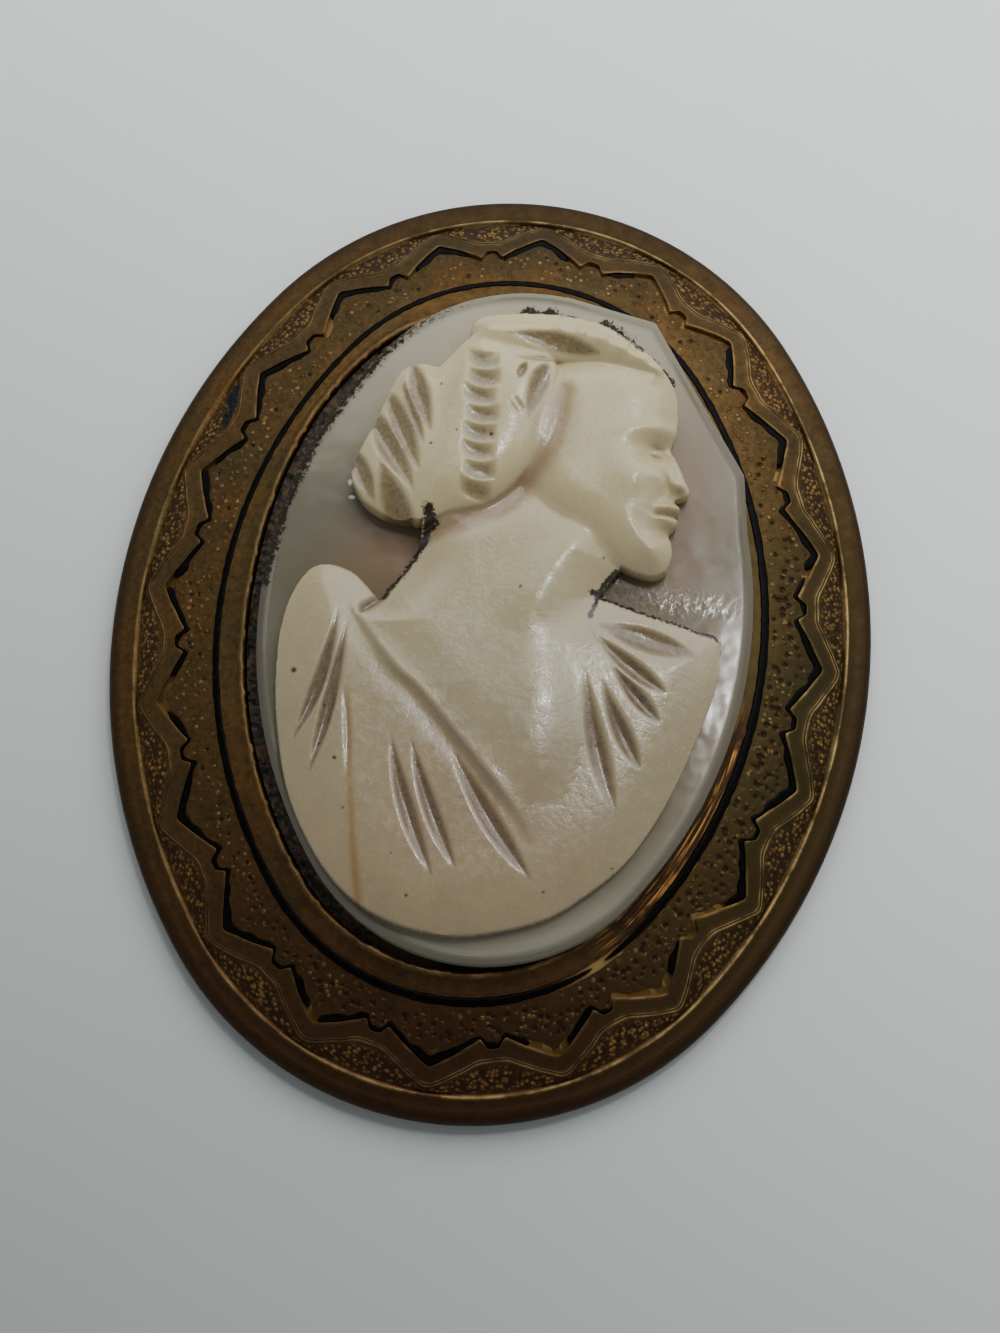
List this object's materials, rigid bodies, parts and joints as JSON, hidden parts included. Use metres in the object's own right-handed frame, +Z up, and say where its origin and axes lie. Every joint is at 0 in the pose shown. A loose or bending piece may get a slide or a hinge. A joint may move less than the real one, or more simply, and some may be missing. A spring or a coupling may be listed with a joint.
{
  "type": "cameo brooch",
  "caption": "Oval cameo brooch: a shell cameo of a draped bust in profile, cemented in a domed gilt brass border with a zigzag band and black enamel lines, pin behind.",
  "frame": {"origin": "under the middle of the oval, at the height of the flat back rim that it rests on", "axes": "+Z up out of the cameo's face, +Y along the long axis towards the top of the bust, +X the way the bust looks"},
  "size_m": [0.04, 0.0504, 0.0075],
  "materials": {
    "gilt_brass": "aged gilding, olive brown, satin",
    "black_enamel": "glossy black enamel, a glass fired on the metal",
    "cement": "dark crumbly setting cement",
    "shell_ground": "polished grey translucent shell",
    "shell_relief": "carved cream shell, soft gloss",
    "pin_brass": "plain worn brass"
  },
  "bodies": {
    "root": {"frame": "gilt_brass", "enamel_oval_line": "black_enamel", "enamel_zigzag": "black_enamel", "cement_bed": "cement", "cameo_ground": "shell_ground", "cameo_bust": "shell_relief", "pin_fastening": "pin_brass"}
  },
  "joints": []
}
